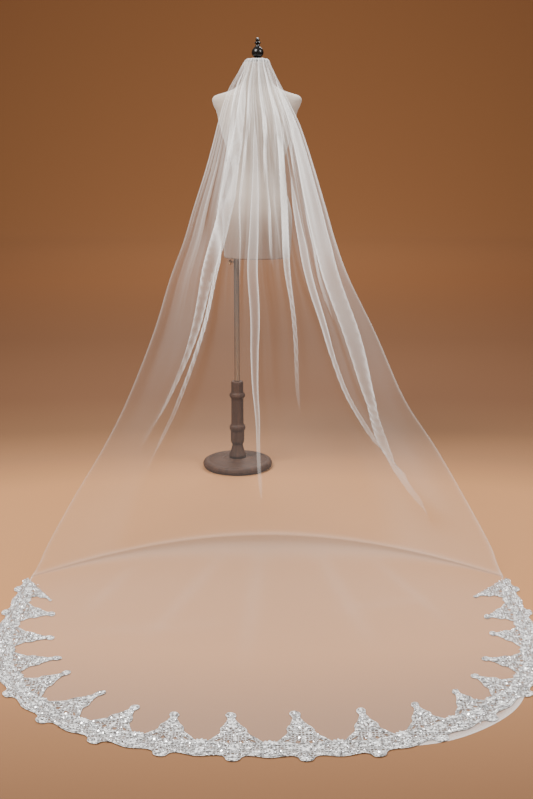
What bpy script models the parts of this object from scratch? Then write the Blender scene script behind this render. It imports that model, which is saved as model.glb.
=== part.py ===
# Cathedral bridal veil with a lace hem, draped from the neck of a limbless dress form.
# Units are metres and +Z is up. The origin is on the floor, at the centre of the stand's foot.
# The form's back faces -Y, and the train of the veil lies on the floor towards -Y.
import math

import bpy
import numpy as np
from mathutils import Vector
from mathutils.geometry import delaunay_2d_cdt

# Driving dimensions of the form and its stand
foot_radius = 0.140
pole_radius = 0.0105
pole_top = 0.842
form_offset = 0.081
finial_offset = 0.084
torso_bottom = 0.850
torso_top = 1.574
part_gap = 0.0003

# Driving dimensions of the veil
cloth_thickness = 0.0012
lace_thickness = 0.0012
veil_middle = 0.128
train_left = 0.755
train_right = 0.735
train_depth = 0.750
train_start = 1.140
train_bend = 1.395
roundness_left = 2.4
roundness_right = 2.5
hem_inset = 0.022
bare_hem_width = 0.018
bare_hem_middle = 0.68
bare_hem_spread = 0.07
gather_count = 12
columns_per_gather = 6
motif_count = 18
motifs_per_strip = 6
motif_pitch_drawn = 150.0
lace_end_gap = 0.012

# Turned wooden foot: radius, height
foot_profile = [
    (0.0000, 0.0000),
    (0.1280, 0.0000),
    (0.1365, 0.0050),
    (foot_radius, 0.0150),
    (0.1365, 0.0250),
    (0.1285, 0.0300),
    (0.1180, 0.0305),
    (0.1150, 0.0280),
    (0.1000, 0.0330),
    (0.0620, 0.0370),
    (0.0590, 0.0350),
    (0.0400, 0.0400),
    (0.0000, 0.0400),
]

# Turned wooden column: radius, height
column_profile = [
    (0.0000, 0.0403),
    (0.0340, 0.0403),
    (0.0335, 0.0520),
    (0.0270, 0.0680),
    (0.0205, 0.0930),
    (0.0270, 0.1050),
    (0.0275, 0.1520),
    (0.0310, 0.1560),
    (0.0325, 0.1640),
    (0.0310, 0.1720),
    (0.0245, 0.1760),
    (0.0240, 0.2860),
    (0.0300, 0.2900),
    (0.0315, 0.2970),
    (0.0300, 0.3040),
    (0.0240, 0.3090),
    (0.0240, 0.3500),
    (0.0215, 0.3550),
    (0.0000, 0.3550),
]

# Metal socket under the torso, which the pole ends in: radius, height
socket_profile = [
    (0.0000, 0.8423),
    (0.0170, 0.8423),
    (0.0170, 0.8497),
    (0.0000, 0.8497),
]

# Black cap that closes the neck: radius, height
neck_cap_profile = [
    (0.0000, 1.5743),
    (0.0440, 1.5743),
    (0.0450, 1.5770),
    (0.0430, 1.5815),
    (0.0000, 1.5820),
]

# Turned black finial: radius, height
finial_profile = [
    (0.0000, 1.5823),
    (0.0135, 1.5823),
    (0.0135, 1.5858),
    (0.0082, 1.5878),
    (0.0088, 1.5900),
    (0.0165, 1.5945),
    (0.0215, 1.6020),
    (0.0225, 1.6095),
    (0.0205, 1.6180),
    (0.0140, 1.6260),
    (0.0088, 1.6300),
    (0.0068, 1.6390),
    (0.0118, 1.6412),
    (0.0118, 1.6448),
    (0.0062, 1.6472),
    (0.0078, 1.6530),
    (0.0064, 1.6585),
    (0.0000, 1.6610),
]

# Clamping screw at the pole's top, turned about a line along X: radius, reach from the pole's wall
screw_profile = [
    (0.0000, 0.0003),
    (0.0035, 0.0003),
    (0.0035, 0.0080),
    (0.0085, 0.0090),
    (0.0100, 0.0130),
    (0.0085, 0.0190),
    (0.0000, 0.0200),
]
screw_height = 0.829

# Torso sections: height, half width, depth in front, depth behind, squareness
torso_sections = [
    (0.850, 0.128, 0.092, 0.098, 2.2),
    (0.900, 0.131, 0.096, 0.104, 2.2),
    (0.960, 0.134, 0.098, 0.110, 2.2),
    (1.015, 0.134, 0.096, 0.110, 2.2),
    (1.070, 0.121, 0.088, 0.098, 2.2),
    (1.120, 0.103, 0.079, 0.084, 2.1),
    (1.170, 0.094, 0.074, 0.077, 2.1),
    (1.215, 0.100, 0.083, 0.080, 2.1),
    (1.265, 0.116, 0.104, 0.087, 2.2),
    (1.310, 0.131, 0.113, 0.093, 2.3),
    (1.355, 0.143, 0.104, 0.095, 2.4),
    (1.395, 0.152, 0.088, 0.092, 2.4),
    (1.425, 0.165, 0.074, 0.084, 2.3),
    (1.443, 0.167, 0.065, 0.076, 2.3),
    (1.456, 0.153, 0.059, 0.069, 2.2),
    (1.468, 0.112, 0.054, 0.063, 2.0),
    (1.486, 0.074, 0.049, 0.056, 2.0),
    (1.515, 0.054, 0.047, 0.051, 2.0),
    (1.545, 0.048, 0.047, 0.048, 2.0),
    (1.574, 0.047, 0.047, 0.047, 2.0),
]

# Veil sections from the gathered heading to the floor:
# height, left edge, right edge, y in the middle, y at the edges, bow, gather depth
veil_sections = [
    (1.5865, 0.0500, 0.1120, -0.0315, -0.0060, 3.0, 0.0008),
    (1.5890, 0.0425, 0.1195, -0.0400, -0.0080, 3.0, 0.0010),
    (1.5865, 0.0360, 0.1260, -0.0490, -0.0110, 3.0, 0.0012),
    (1.5780, 0.0300, 0.1305, -0.0550, -0.0160, 3.0, 0.0014),
    (1.5620, 0.0240, 0.1340, -0.0610, -0.0280, 2.8, 0.0018),
    (1.5200, 0.0020, 0.1530, -0.0780, -0.0620, 2.5, 0.0030),
    (1.4780, -0.0200, 0.1750, -0.0980, -0.1020, 2.0, 0.0045),
    (1.4200, -0.0410, 0.2040, -0.1280, -0.1420, 2.0, 0.0060),
    (1.3530, -0.0590, 0.2360, -0.1630, -0.1860, 2.0, 0.0070),
    (1.2800, -0.0770, 0.2620, -0.2000, -0.2280, 2.0, 0.0075),
    (1.1840, -0.1030, 0.2920, -0.2430, -0.2800, 2.0, 0.0070),
    (1.0600, -0.1420, 0.3290, -0.2930, -0.3460, 2.0, 0.0050),
    (0.9500, -0.1740, 0.3610, -0.3360, -0.4100, 2.0, 0.0030),
    (0.8300, -0.2180, 0.4050, -0.3850, -0.4870, 2.0, 0.0010),
    (0.6600, -0.2680, 0.4890, -0.4560, -0.6060, 2.0, 0.0000),
    (0.4700, -0.3420, 0.5740, -0.5410, -0.7480, 2.0, 0.0000),
    (0.3350, -0.4120, 0.6660, -0.6030, -0.8560, 2.0, 0.0000),
    (0.2000, -0.4970, 0.7470, -0.6680, -0.9660, 2.0, 0.0000),
    (0.0800, -0.5650, 0.8140, -0.7280, -1.0660, 2.0, 0.0000),
    (0.0300, -0.5880, 0.8320, -0.7550, -1.1050, 2.0, 0.0000),
    (0.0100, -0.6000, 0.8410, -0.7700, -1.1240, 2.0, 0.0000),
    (0.0006, -0.6070, 0.8460, -0.7900, -1.1400, 2.0, 0.0000),
]

# Large folds of the fall: place across at 1.2 m and at the floor, depth, breadth, height where each ends
veil_folds = [
    (0.060, 0.050, -0.018, 0.030, 0.30),
    (0.180, 0.110, 0.046, 0.026, 0.30),
    (0.290, 0.165, 0.040, 0.024, 0.26),
    (0.380, 0.370, 0.030, 0.022, 0.55),
    (0.430, 0.480, 0.046, 0.024, 0.10),
    (0.510, 0.530, 0.034, 0.022, 0.20),
    (0.600, 0.570, -0.022, 0.030, 0.40),
    (0.675, 0.610, 0.038, 0.022, 0.34),
    (0.715, 0.855, 0.050, 0.024, 0.12),
    (0.830, 0.886, 0.046, 0.022, 0.06),
    (0.930, 0.925, 0.030, 0.024, 0.30),
]
fold_measured_at = 1.20
fold_start = 1.50
fold_full = 1.05
fold_fade = 0.35

# Right half of one lace motif's outline, from the tip to the valley, in millimetres: along, inwards
motif_inner_edge = [
    (0.0, 176.0),
    (8.0, 173.0),
    (13.0, 165.0),
    (9.0, 154.0),
    (9.0, 147.0),
    (14.0, 136.0),
    (17.0, 128.0),
    (27.0, 116.0),
    (31.0, 106.0),
    (29.0, 98.0),
    (36.0, 88.0),
    (47.0, 76.0),
    (58.0, 63.0),
    (66.0, 61.0),
]
valley_inner_edge = 66.0

# Right half of the scalloped outer edge, from the round flower to the valley: along, inwards
motif_outer_edge = [
    (0.0, -12.0),
    (12.0, -8.0),
    (17.0, 3.0),
    (28.0, 9.0),
    (44.0, 8.0),
    (60.0, 4.0),
]
valley_outer_edge = 2.0
end_outer_edge = 18.0

# Right half of the gaps that go through one motif: along, inwards
motif_gaps = [
    [(24.0, 76.0), (38.0, 71.0), (50.0, 60.0), (36.0, 62.0)],
    [(16.0, 102.0), (24.0, 107.0), (21.0, 96.0)],
    [(3.0, 110.0), (9.0, 117.0), (4.0, 129.0)],
    [(7.0, 64.0), (17.0, 70.0), (21.0, 58.0), (12.0, 53.0)],
    [(43.0, 33.0), (50.0, 43.0), (56.0, 32.0)],
    [(16.0, 31.0), (31.0, 27.0), (26.0, 21.0)],
]

# How far each motif's tip is pulled along the hem and inwards, in millimetres, and where the pull begins
motif_lean = [72, 13, 21, 14, -32, 11, 8, -22, -22, -17, 14, 36, 50, 26, -3, 16, -31, -48]
motif_stretch = [-32, -1, 11, 17, 12, 15, -4, -8, 5, 13, 14, -16, -26, -8, -3, -20, -17, -6]
lean_start = 70.0


def clear_scene():
    for item in list(bpy.data.objects):
        bpy.data.objects.remove(item, do_unlink=True)


def make_material(name, colour, roughness, metallic=0.0):
    material = bpy.data.materials.new(name)
    material.use_nodes = True
    shader = material.node_tree.nodes["Principled BSDF"]
    shader.inputs["Base Color"].default_value = (*colour, 1.0)
    shader.inputs["Roughness"].default_value = roughness
    shader.inputs["Metallic"].default_value = metallic
    material.diffuse_color = (*colour, 1.0)
    return material


def add_solid(name, vertices, faces, material):
    mesh = bpy.data.meshes.new(name)
    mesh.from_pydata([tuple(map(float, v)) for v in vertices], [], faces)
    mesh.validate()
    for face in mesh.polygons:
        face.use_smooth = True
    mesh.materials.append(material)
    solid = bpy.data.objects.new(name, mesh)
    bpy.context.collection.objects.link(solid)
    return solid


def loft(name, rings, low_pole, high_pole, material):
    # Closed skin through rings of equal length, each running anticlockwise seen from above
    count = len(rings[0])
    vertices = [tuple(p) for ring in rings for p in ring]
    faces = []
    for level in range(len(rings) - 1):
        start = level * count
        for i in range(count):
            j = (i + 1) % count
            low_i, low_j = start + i, start + j
            faces.append((low_i, low_j, low_j + count, low_i + count))
    low = len(vertices)
    vertices += [tuple(low_pole), tuple(high_pole)]
    last = (len(rings) - 1) * count
    for i in range(count):
        j = (i + 1) % count
        faces.append((low, j, i))
        faces.append((low + 1, last + i, last + j))
    return add_solid(name, vertices, faces, material)


def turned(name, profile, centre, sides, material):
    # A solid of revolution about a vertical line through centre, from pole to pole
    turns = [2 * math.pi * i / sides for i in range(sides)]
    rings = []
    for radius, height in profile[1:-1]:
        ring = [(centre[0] + radius * math.cos(a), centre[1] + radius * math.sin(a), height) for a in turns]
        rings.append(ring)
    poles = [(centre[0], centre[1], profile[i][1]) for i in (0, -1)]
    return loft(name, rings, poles[0], poles[1], material)


def walled_sheet(name, outer, inner, triangles, material):
    # Closes the space between two skins that share their triangles, with a wall round each free edge
    count = len(outer)
    vertices = list(outer) + list(inner)
    faces = [tuple(t) for t in triangles]
    faces += [(c + count, b + count, a + count) for a, b, c in triangles]
    directed = set()
    for a, b, c in triangles:
        directed.update([(a, b), (b, c), (c, a)])
    for a, b in directed:
        if (b, a) not in directed:
            faces.append((b, a, a + count))
            faces.append((b, a + count, b + count))
    return add_solid(name, vertices, faces, material)


def inside(point, outline):
    hit = False
    for (ax, ay), (bx, by) in zip(outline, outline[1:] + outline[:1]):
        if (ay > point[1]) != (by > point[1]):
            if point[0] < ax + (point[1] - ay) * (bx - ax) / (by - ay):
                hit = not hit
    return hit


def fill_outline(outline, gaps):
    # Triangles that fill a flat outline but for its gaps, all facing up
    loops = [outline] + gaps
    points = [p for loop in loops for p in loop]
    edges = []
    start = 0
    for loop in loops:
        size = len(loop)
        edges += [(start + i, start + (i + 1) % size) for i in range(size)]
        start += size
    flat = [Vector(p) for p in points]
    found, _, faces, _, _, _ = delaunay_2d_cdt(flat, edges, [], 0, 1e-7)
    corners = [tuple(p) for p in found]
    triangles = []
    for a, b, c in faces:
        middle = tuple((corners[a][k] + corners[b][k] + corners[c][k]) / 3 for k in (0, 1))
        if inside(middle, outline) and not any(inside(middle, gap) for gap in gaps):
            triangles.append((a, b, c))
    return corners, triangles


def smooth_step(value):
    value = np.clip(value, 0.0, 1.0)
    return value * value * (3.0 - 2.0 * value)


def train_curve():
    # Outer edge of the lace on the floor from the left end round to the right end, with running length
    turn = np.linspace(0.0, math.pi / 2, 60)
    sides = []
    for width, roundness in ((-train_left, roundness_left), (train_right, roundness_right)):
        across = np.cos(turn) ** (2.0 / roundness)
        along = np.sin(turn) ** (2.0 / roundness)
        sides.append(np.stack([veil_middle + width * across, -train_bend - train_depth * along], 1))
    left, right = sides
    start = np.array([[veil_middle - train_left, -train_start]])
    end = np.array([[veil_middle + train_right, -train_start]])
    path = np.concatenate([start, left, right[::-1][1:], end])
    steps = np.linalg.norm(np.diff(path, axis=0), axis=1)
    length = np.concatenate([[0.0], np.cumsum(steps)])
    return path, length


hem_path, hem_length = train_curve()
hem_total = float(hem_length[-1])


def hem_point(along, inwards):
    # A point on the floor, by its length along the lace's outer edge and its distance inside it
    reach = 0.02
    here = np.array([np.interp(along, hem_length, hem_path[:, k]) for k in (0, 1)])
    behind = np.array([np.interp(along - reach, hem_length, hem_path[:, k]) for k in (0, 1)])
    ahead = np.array([np.interp(along + reach, hem_length, hem_path[:, k]) for k in (0, 1)])
    heading = (ahead - behind) / np.linalg.norm(ahead - behind)
    inward = np.array([-heading[1], heading[0]])
    return tuple(here + inward * inwards)


def bare_share(along):
    # Nearly 1 along the right front, where the lace lies back and the tulle's own hem shows, else 0
    return math.exp(-((along / hem_total - bare_hem_middle) / bare_hem_spread) ** 4)


def cloth_inset(along):
    # The tulle ends under the lace, and at the bare stretch on the hem curve itself
    return hem_inset * (1.0 - bare_share(along))


def fall_grid():
    # Middle of the cloth from heading to floor, as rows of points, with gathers and large folds
    columns = gather_count * columns_per_gather
    across = np.linspace(0.0, 1.0, columns + 1)
    side = 2.0 * across - 1.0
    rows = []
    for height, left, right, y_middle, y_edge, bow, _ in veil_sections:
        x = left + (right - left) * across
        y = y_middle + (y_edge - y_middle) * np.abs(side) ** bow
        rows.append(np.stack([x, y, np.full_like(x, height)], 1))
    grid = np.array(rows)
    normals = grid_normals(grid)
    for row, (height, _, _, _, _, _, gather) in enumerate(veil_sections):
        depth = gather * np.cos(2.0 * math.pi * gather_count * across)
        started = smooth_step((fold_start - height) / (fold_start - fold_full))
        for upper, lower, fold_depth, breadth, ends in veil_folds:
            share = np.clip((fold_measured_at - height) / fold_measured_at, 0.0, 1.0)
            place = upper + (lower - upper) * share
            kept = smooth_step((height - ends) / fold_fade)
            ridge = np.exp(-((across - place) / breadth) ** 2)
            depth = depth + fold_depth * started * kept * ridge
        edge_hold = smooth_step((1.0 - np.abs(side)) / 0.05)
        grid[row] += normals[row] * (depth * edge_hold)[:, None]
    return grid


def grid_normals(grid):
    # Unit normals of a grid of points, on the side that faces away from the form
    down = np.gradient(grid, axis=0)
    right = np.gradient(grid, axis=1)
    normals = np.cross(down, right)
    return normals / np.linalg.norm(normals, axis=2)[:, :, None]


def make_veil(material):
    grid = fall_grid()
    normals = grid_normals(grid)
    normals[-1] = (0.0, 0.0, 1.0)
    row_count, column_count = grid.shape[:2]
    triangles = []
    for i in range(row_count - 1):
        for j in range(column_count - 1):
            a = i * column_count + j
            b = a + column_count
            triangles += [(a, b, b + 1), (a, b + 1, a + 1)]
    hem_places = np.linspace(0.0, hem_total, 64)[1:-1]
    hem = [hem_point(s, cloth_inset(s)) for s in hem_places]
    landing = [tuple(p[:2]) for p in grid[-1]]
    outline = landing[::-1] + hem
    _, train = fill_outline(outline, [])
    landing_start = (row_count - 1) * column_count
    hem_start = row_count * column_count

    def sheet_index(i):
        if i < column_count:
            return landing_start + column_count - 1 - i
        return hem_start + i - column_count

    triangles += [tuple(sheet_index(i) for i in t) for t in train]
    half = cloth_thickness / 2
    middle = np.concatenate([grid.reshape(-1, 3), [(x, y, half) for x, y in hem]])
    offset = np.concatenate([normals.reshape(-1, 3), [(0.0, 0.0, 1.0)] * len(hem)]) * half
    return walled_sheet("tulle_veil", middle + offset, middle - offset, triangles, material)


def lace_depth_share(along):
    # The lace is a little narrower on the two sides than across the front
    place = along / hem_total
    return 0.80 + 0.26 * math.sin(math.pi * place) ** 2


def make_lace_strip(name, first, last, material):
    pitch = (hem_total - 2 * lace_end_gap) / motif_count
    scale = pitch / motif_pitch_drawn

    def place(motif, along, inwards):
        pull = max(0.0, (inwards - lean_start) / (motif_inner_edge[0][1] - lean_start))
        s = lace_end_gap + (motif + 0.5) * pitch + (along + motif_lean[motif] * pull) * scale
        depth = (inwards + motif_stretch[motif] * pull) * 0.001 * lace_depth_share(s)
        return hem_point(s, depth + bare_hem_width * bare_share(s))

    half_pitch = motif_pitch_drawn / 2
    seam = part_gap / 2 / scale
    inner = []
    outer = []
    gaps = []
    for motif in range(first, last):
        # The two end motifs are cut off along a line from the hem to their tip
        left_cut = motif == 0
        right_cut = motif == motif_count - 1
        left_end = -half_pitch + (seam if motif == first else 0.0)
        right_end = half_pitch - (seam if motif == last - 1 else 0.0)
        if motif == first:
            outer.append(place(motif, left_end, end_outer_edge if left_cut else valley_outer_edge))
            if not left_cut:
                inner.append(place(motif, left_end, valley_inner_edge))
        if not left_cut:
            inner += [place(motif, -a, d) for a, d in motif_inner_edge[:0:-1]]
        inner.append(place(motif, *motif_inner_edge[0]))
        if not right_cut:
            inner += [place(motif, a, d) for a, d in motif_inner_edge[1:]]
            inner.append(place(motif, right_end, valley_inner_edge))
        outer += [place(motif, -a, d) for a, d in motif_outer_edge[:0:-1]]
        outer += [place(motif, a, d) for a, d in motif_outer_edge]
        outer.append(place(motif, right_end, end_outer_edge if right_cut else valley_outer_edge))
        for gap in motif_gaps:
            if not right_cut:
                gaps.append([place(motif, a, d) for a, d in gap])
            if not left_cut:
                gaps.append([place(motif, -a, d) for a, d in gap])
    corners, triangles = fill_outline(outer + inner[::-1], gaps)
    low = cloth_thickness + part_gap
    high = low + lace_thickness
    upper = [(x, y, high) for x, y in corners]
    lower = [(x, y, low) for x, y in corners]
    return walled_sheet(name, upper, lower, triangles, material)


def make_heading(material):
    # Rolled and bound end of the gathered tulle, lying on the neck behind the finial
    roll_radius, reach = 0.0262, math.radians(96)
    half_width, half_height, middle_height = 0.0042, 0.0026, 1.5850
    stations, sides = 18, 8
    rings = []
    for i in range(stations + 1):
        turn = reach * (2 * i / stations - 1)
        taper = 1.0 if 0 < i < stations else 0.6
        ring = []
        for j in range(sides):
            around = -2 * math.pi * j / sides
            radius = roll_radius + half_width * taper * math.cos(around)
            height = middle_height + half_height * taper * math.sin(around)
            ring.append((form_offset + radius * math.sin(turn), -radius * math.cos(turn), height))
        rings.append(ring)
    ends = [np.mean(rings[k], axis=0) for k in (0, -1)]
    return loft("veil_heading", rings, ends[0], ends[1], material)


def make_torso(material):
    sides = 36
    rings = []
    for height, half_width, front, behind, squareness in torso_sections:
        ring = []
        for i in range(sides):
            around = 2 * math.pi * i / sides
            c, s = math.cos(around), math.sin(around)
            depth = front if s > 0 else behind
            x = form_offset + half_width * math.copysign(abs(c) ** (2 / squareness), c)
            y = depth * math.copysign(abs(s) ** (2 / squareness), s)
            ring.append((x, y, height))
        rings.append(ring)
    low = (form_offset, 0.0, torso_bottom)
    high = (form_offset, 0.0, torso_top)
    return loft("torso", rings, low, high, material)


def make_screw(material):
    # Thumbscrew that grips the pole from its left side
    sides = 16
    rings = []
    for radius, reach in screw_profile[1:-1]:
        x = -pole_radius - reach
        ring = []
        for i in range(sides):
            around = 2 * math.pi * i / sides
            ring.append((x, -radius * math.cos(around), screw_height + radius * math.sin(around)))
        rings.append(ring)
    poles = [(-pole_radius - screw_profile[k][1], 0.0, screw_height) for k in (0, -1)]
    return loft("clamp_screw", rings, poles[0], poles[1], material)


def build():
    clear_scene()
    tulle = make_material("tulle", (0.86, 0.84, 0.80), 0.75)
    lace = make_material("lace", (0.90, 0.89, 0.88), 0.65)
    cover = make_material("form_cover", (0.78, 0.74, 0.66), 0.85)
    wood = make_material("wood", (0.16, 0.10, 0.07), 0.45)
    steel = make_material("steel", (0.60, 0.60, 0.60), 0.30, 1.0)
    brass = make_material("brass", (0.62, 0.45, 0.20), 0.35, 1.0)
    gloss_black = make_material("gloss_black", (0.01, 0.01, 0.01), 0.15)

    foot_centre = (0.0, 0.0)
    form_centre = (form_offset, 0.0)
    pole_profile = [
        (0.0, 0.3553),
        (pole_radius, 0.3553),
        (pole_radius, pole_top - part_gap),
        (0.0, pole_top - part_gap),
    ]
    turned("stand_foot", foot_profile, foot_centre, 40, wood)
    turned("stand_column", column_profile, foot_centre, 24, wood)
    turned("stand_pole", pole_profile, foot_centre, 20, steel)
    turned("pole_socket", socket_profile, foot_centre, 20, steel)
    make_screw(brass)
    make_torso(cover)
    turned("neck_cap", neck_cap_profile, form_centre, 24, gloss_black)
    turned("finial", finial_profile, (finial_offset, 0.0), 20, gloss_black)
    make_heading(tulle)
    make_veil(tulle)
    strips = ["lace_left", "lace_front", "lace_right"]
    for i, name in enumerate(strips):
        make_lace_strip(name, i * motifs_per_strip, (i + 1) * motifs_per_strip, lace)


build()
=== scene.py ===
# Bridal veil with a lace hem on a dress form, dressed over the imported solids.
import math

import bpy
import numpy as np
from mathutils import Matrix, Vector
from mathutils.geometry import delaunay_2d_cdt


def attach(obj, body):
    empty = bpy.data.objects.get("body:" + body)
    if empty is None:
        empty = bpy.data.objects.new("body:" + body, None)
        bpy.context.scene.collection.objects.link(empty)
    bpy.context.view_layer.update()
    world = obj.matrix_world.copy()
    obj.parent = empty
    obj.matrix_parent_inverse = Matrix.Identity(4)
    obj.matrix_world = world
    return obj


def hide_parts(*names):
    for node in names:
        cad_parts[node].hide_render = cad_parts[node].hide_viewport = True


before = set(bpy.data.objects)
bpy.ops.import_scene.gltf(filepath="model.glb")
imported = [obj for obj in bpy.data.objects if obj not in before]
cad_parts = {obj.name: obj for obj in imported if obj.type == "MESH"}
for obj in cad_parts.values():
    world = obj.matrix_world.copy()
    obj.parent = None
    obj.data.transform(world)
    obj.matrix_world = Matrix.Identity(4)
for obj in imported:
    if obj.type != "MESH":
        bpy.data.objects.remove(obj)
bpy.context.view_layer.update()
print("frame loaded, solids:", len(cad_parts))


# Photo camera and studio

photoCamera = {
    "place": (0.117, -4.317, 1.355),
    "lookDown": 14.0,          # degrees below level
    "lens": 50.0,
    "sensor": 36.0,
}

studio = {
    # tone of the floor by its distance from the middle, where distance across counts less
    "floorTones": [
        (0.0, (0.305, 0.139, 0.050)),
        (0.75, (0.330, 0.145, 0.048)),
        (1.10, (0.205, 0.090, 0.032)),
        (1.50, (0.126, 0.052, 0.0155)),
        (2.10, (0.104, 0.037, 0.0080)),
        (3.70, (0.113, 0.040, 0.0085)),
        (6.40, (0.190, 0.073, 0.0205)),
        (10.3, (0.270, 0.117, 0.043)),
    ],
    "acrossCounts": 0.5,
    "centre": (0.1, -0.90),
    "floorRadius": 10.0,
    "coveRadius": 5.0,
    "coveSteps": 24,
    "wallTop": 9.5,
    "sides": 96,
    "worldColour": (0.80, 0.78, 0.76),
    "worldStrength": 0.33,
    # place, aim, width, power, colour
    "lamps": [
        ((-1.8, -1.9, 4.0), (0.1, -0.7, 0.5), 2.0, 420.0, (1.0, 0.99, 0.97)),
        ((2.8, -1.6, 3.0), (0.1, -0.6, 0.8), 1.6, 150.0, (1.0, 0.99, 0.98)),
        ((0.4, 2.2, 3.6), (0.1, -0.7, 0.6), 1.8, 160.0, (0.98, 0.99, 1.0)),
        ((0.1, 4.5, 6.5), (0.1, 11.5, 2.0), 4.0, 380.0, (1.0, 0.90, 0.80)),
        ((0.1, 8.0, 4.4), (0.1, 11.5, 1.2), 1.5, 70.0, (1.0, 0.92, 0.82)),
        ((0.1, 5.2, 3.4), (0.1, 5.6, 0.0), 2.0, 70.0, (1.0, 0.90, 0.78)),
    ],
}


def addCamera():
    data = bpy.data.cameras.new("photoCamera")
    data.sensor_fit = "AUTO"
    data.sensor_width = photoCamera["sensor"]
    data.lens = photoCamera["lens"]
    camera = bpy.data.objects.new("photoCamera", data)
    bpy.context.collection.objects.link(camera)
    camera.location = photoCamera["place"]
    camera.rotation_euler = (math.radians(90.0 - photoCamera["lookDown"]), 0.0, 0.0)
    bpy.context.scene.camera = camera


def addLamp(name, place, aim, width, power, colour):
    data = bpy.data.lights.new(name, "AREA")
    data.shape = "SQUARE"
    data.size = width
    data.energy = power
    data.color = colour
    lamp = bpy.data.objects.new(name, data)
    bpy.context.collection.objects.link(lamp)
    lamp.location = place
    lamp.rotation_euler = (Vector(aim) - Vector(place)).to_track_quat("-Z", "Y").to_euler()


def floorMaterial():
    # floor whose tone follows the distance from its middle
    tones = studio["floorTones"]
    furthest = tones[-1][0]
    material = newMaterial("studioFloor", tones[0][1], 0.9)
    tree = material.node_tree
    away = addNode(tree, "ShaderNodeTexCoord").outputs["Object"]
    for operation, value in (
        ("SUBTRACT", (*studio["centre"], 0.0)),
        ("MULTIPLY", (studio["acrossCounts"], 1.0, 1.0)),
    ):
        step = addNode(tree, "ShaderNodeVectorMath", {0: away, 1: value}, operation=operation)
        away = step.outputs["Vector"]
    distance = addNode(tree, "ShaderNodeVectorMath", {0: away}, operation="LENGTH").outputs["Value"]
    ramp = addNode(tree, "ShaderNodeValToRGB", {"Fac": mathNode(tree, "DIVIDE", distance, furthest)})
    stops = ramp.color_ramp.elements
    stops[0].color = (*tones[0][1], 1.0)
    stops[1].color = (*tones[-1][1], 1.0)
    for reach, colour in tones[1:-1]:
        stops.new(reach / furthest).color = (*colour, 1.0)
    feedShader(material, {"Base Color": ramp.outputs["Color"]})
    return material


def addStudio():
    # a pale floor that curves up all round, so that no horizon shows from any side
    profile = [(0.0, 0.0), (studio["floorRadius"], 0.0)]
    bend, steps = studio["coveRadius"], studio["coveSteps"]
    for i in range(1, steps + 1):
        turn = math.pi / 2 * i / steps
        profile.append((studio["floorRadius"] + bend * math.sin(turn), bend * (1.0 - math.cos(turn))))
    profile.append((studio["floorRadius"] + bend, studio["wallTop"]))
    sides = studio["sides"]
    middleX, middleY = studio["centre"]
    verts = [(middleX, middleY, 0.0)]
    for radius, height in profile[1:]:
        for i in range(sides):
            turn = 2 * math.pi * i / sides
            verts.append((middleX + radius * math.cos(turn), middleY + radius * math.sin(turn), height))
    faces = [(0, 1 + i, 1 + (i + 1) % sides) for i in range(sides)]
    for ring in range(len(profile) - 2):
        start = 1 + ring * sides
        for i in range(sides):
            j = (i + 1) % sides
            faces.append((start + i, start + sides + i, start + sides + j, start + j))
    mesh = bpy.data.meshes.new("studioFloor")
    mesh.from_pydata(verts, [], faces)
    mesh.shade_smooth()
    floor = bpy.data.objects.new("studioFloor", mesh)
    bpy.context.collection.objects.link(floor)
    mesh.materials.append(floorMaterial())
    for i, lamp in enumerate(studio["lamps"]):
        addLamp(f"softbox{i}", *lamp)
    world = bpy.data.worlds.new("studioWorld")
    world.use_nodes = True
    background = world.node_tree.nodes["Background"]
    background.inputs["Color"].default_value = (*studio["worldColour"], 1.0)
    background.inputs["Strength"].default_value = studio["worldStrength"]
    bpy.context.scene.world = world


# Materials

def newMaterial(name, colour, roughness, values=None):
    material = bpy.data.materials.new(name)
    material.use_nodes = True
    feedShader(material, {"Base Color": (*colour, 1.0), "Roughness": roughness, **(values or {})})
    return material


def feedShader(material, inputs):
    feedNode(material.node_tree, material.node_tree.nodes["Principled BSDF"], inputs)


def feedNode(tree, node, inputs):
    # each input is a plain value or another node's output
    for label, value in inputs.items():
        if isinstance(value, bpy.types.NodeSocket):
            tree.links.new(value, node.inputs[label])
        else:
            node.inputs[label].default_value = value


def addNode(tree, kind, inputs=None, **values):
    node = tree.nodes.new(kind)
    for key, value in values.items():
        setattr(node, key, value)
    feedNode(tree, node, inputs or {})
    return node


def mathNode(tree, operation, *terms, clamp=False):
    inputs = dict(enumerate(terms))
    return addNode(tree, "ShaderNodeMath", inputs, operation=operation, use_clamp=clamp).outputs[0]


def noiseNode(tree, place, scale, values=None):
    inputs = {"Vector": place, "Scale": scale, **(values or {})}
    return addNode(tree, "ShaderNodeTexNoise", inputs).outputs["Fac"]


def mixNode(tree, share, first, second):
    # each colour is a socket or plain red, green and blue
    first, second = [(*c, 1.0) if isinstance(c, tuple) else c for c in (first, second)]
    inputs = {"Factor": share, "A": first, "B": second}
    return addNode(tree, "ShaderNodeMix", inputs, data_type="RGBA").outputs["Result"]


def newGroup(name, inputs):
    # inputs are given by label with their defaults
    group = bpy.data.node_groups.new(name, "ShaderNodeTree")
    for label, value in inputs.items():
        kind = "NodeSocketColor" if isinstance(value, tuple) else "NodeSocketFloat"
        group.interface.new_socket(label, in_out="INPUT", socket_type=kind).default_value = value
    return group, group.nodes.new("NodeGroupInput").outputs


def closeGroup(group, outputs):
    # outputs are the sockets that leave the group, by label
    for label in outputs:
        kind = "NodeSocketColor" if label == "Colour" else "NodeSocketFloat"
        group.interface.new_socket(label, in_out="OUTPUT", socket_type=kind)
    feedNode(group, group.nodes.new("NodeGroupOutput"), outputs)
    return group


def placeGroup(material, group, values):
    return addNode(material.node_tree, "ShaderNodeGroup", values, node_tree=group).outputs


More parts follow.
